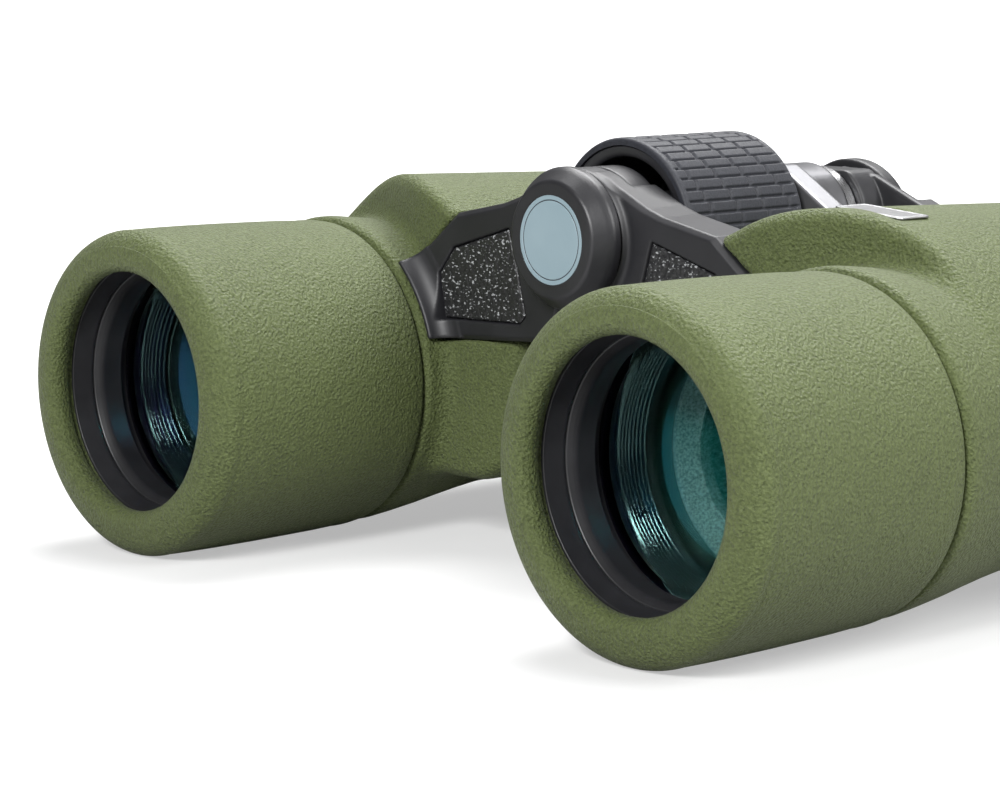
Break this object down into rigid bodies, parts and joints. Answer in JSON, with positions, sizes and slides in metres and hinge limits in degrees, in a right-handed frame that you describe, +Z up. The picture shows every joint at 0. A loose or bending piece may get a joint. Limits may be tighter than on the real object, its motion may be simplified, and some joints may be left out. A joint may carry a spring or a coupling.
{
  "type": "porro prism binoculars",
  "caption": "Porro-prism binoculars with green rubber armour, a centre focus wheel, a dioptre ring, twist-up eyecups and a folding bridge with a tripod socket.",
  "frame": {"origin": "centre of the bounding box at the level of the surface it stands on", "axes": "+Y towards the eyepieces, +X towards the user's left half, +Z up"},
  "size_m": [0.1906, 0.152, 0.0773],
  "materials": {
    "armour_rubber": "matt olive green rubber with a fine pebbled grain",
    "black_rubber": "matt black rubber",
    "satin_black": "satin black paint on a cast body",
    "black_plastic": "satin black plastic",
    "grained_inset": "black inset with a leather grain",
    "satin_grey_metal": "satin grey metal",
    "black_metal": "black anodised aluminium",
    "housing_metal": "cast light alloy",
    "steel": "turned steel",
    "coated_glass": "polished, with anti-reflection coating",
    "prism_glass": "polished optical glass",
    "badge_blue_grey": "flat pale blue-grey inlay",
    "plate_grey": "plain satin plate"
  },
  "bodies": {
    "right_half": {"right_prism_housing": "housing_metal", "right_housing_armour": "armour_rubber", "right_objective_tube": "black_metal", "right_bell_armour": "armour_rubber", "right_objective_lens": "coated_glass", "right_objective_cell": "black_metal", "right_lens_retainer": "black_metal", "right_baffle_tube": "black_metal", "right_prism_shelf": "steel", "right_front_prism": "prism_glass", "right_rear_prism": "prism_glass", "right_prism_clips": "steel", "right_rear_cover": "black_plastic", "right_front_arm": "satin_black", "right_arm_pad": "grained_inset", "right_rear_arm": "satin_grey_metal", "right_strap_lug": "satin_black", "right_cover_screws": "steel", "hinge_pin": "steel", "thrust_washer": "black_plastic", "rear_hinge_sleeve": "steel"},
    "left_half": {"left_prism_housing": "housing_metal", "left_housing_armour": "armour_rubber", "left_objective_tube": "black_metal", "left_bell_armour": "armour_rubber", "left_objective_lens": "coated_glass", "left_objective_cell": "black_metal", "left_lens_retainer": "black_metal", "left_baffle_tube": "black_metal", "left_prism_shelf": "steel", "left_front_prism": "prism_glass", "left_rear_prism": "prism_glass", "left_prism_clips": "steel", "left_rear_cover": "black_plastic", "left_front_arm": "satin_black", "left_arm_pad": "grained_inset", "left_rear_arm": "satin_grey_metal", "left_strap_lug": "satin_black", "left_cover_screws": "steel", "left_top_plate": "plate_grey"},
    "focus_wheel": {"focus_wheel": "black_plastic", "wheel_grip": "black_rubber"},
    "right_carriage": {"focus_spindle": "steel", "right_eyepiece_arm": "satin_black", "right_eyepiece_tube": "black_metal"},
    "left_carriage": {"left_eyepiece_arm": "satin_black", "left_eyepiece_tube": "black_metal", "left_ocular_barrel": "black_metal", "left_field_lens": "coated_glass", "left_eye_lens": "coated_glass"},
    "dioptre_ring": {"dioptre_ring": "black_plastic"},
    "right_ocular": {"right_ocular_barrel": "black_metal", "right_field_lens": "coated_glass", "right_eye_lens": "coated_glass"},
    "right_cup_lift": {"right_eyecup_sleeve": "black_plastic"},
    "right_cup": {"right_eyecup": "black_rubber"},
    "left_cup_lift": {"left_eyecup_sleeve": "black_plastic"},
    "left_cup": {"left_eyecup": "black_rubber"},
    "front_cap": {"front_cap": "satin_black", "cap_badge": "badge_blue_grey"}
  },
  "joints": [
    {"name": "ipd_hinge", "type": "hinge", "parent": "right_half", "child": "left_half", "pos_m": [0, -0.01795, 0.06], "axis": [0, 1, 0], "range_deg": [-26, 28]},
    {"name": "focus_turn", "type": "hinge", "parent": "right_half", "child": "focus_wheel", "pos_m": [0, 0.00205, 0.06], "axis": [0, 1, 0], "range_deg": [-30, 420]},
    {"name": "right_focus_slide", "type": "slide", "parent": "right_half", "child": "right_carriage", "axis": [0, 1, 0], "range_m": [-0.00052, 0.00733]},
    {"name": "left_focus_slide", "type": "slide", "parent": "left_half", "child": "left_carriage", "axis": [0, 1, 0], "range_m": [-0.00052, 0.00733]},
    {"name": "dioptre_turn", "type": "hinge", "parent": "right_carriage", "child": "dioptre_ring", "pos_m": [-0.0325, 0.05305, 0.0453], "axis": [0, 1, 0], "range_deg": [-70, 70]},
    {"name": "right_ocular_slide", "type": "slide", "parent": "right_carriage", "child": "right_ocular", "axis": [0, 1, 0], "range_m": [-0.0012, 0.0012]},
    {"name": "right_cup_rise", "type": "slide", "parent": "right_carriage", "child": "right_cup_lift", "axis": [0, 1, 0], "range_m": [0, 0.006]},
    {"name": "right_cup_twist", "type": "hinge", "parent": "right_cup_lift", "child": "right_cup", "pos_m": [-0.0325, 0.06405, 0.0453], "axis": [0, 1, 0], "range_deg": [0, 120]},
    {"name": "left_cup_rise", "type": "slide", "parent": "left_carriage", "child": "left_cup_lift", "axis": [0, 1, 0], "range_m": [0, 0.006]},
    {"name": "left_cup_twist", "type": "hinge", "parent": "left_cup_lift", "child": "left_cup", "pos_m": [0.0325, 0.06405, 0.0453], "axis": [0, 1, 0], "range_deg": [0, 120]},
    {"name": "cap_lift", "type": "slide", "parent": "right_half", "child": "front_cap", "axis": [0, -1, 0], "range_m": [0, 0.03]}
  ],
  "couplings": [
    {"joint": "focus_turn", "follows": "right_focus_slide", "rad_per_m": 1000},
    {"joint": "left_focus_slide", "follows": "right_focus_slide", "ratio": 1},
    {"joint": "dioptre_turn", "follows": "right_ocular_slide", "rad_per_m": 1018},
    {"joint": "right_cup_twist", "follows": "right_cup_rise", "rad_per_m": 349},
    {"joint": "left_cup_twist", "follows": "left_cup_rise", "rad_per_m": 349}
  ]
}
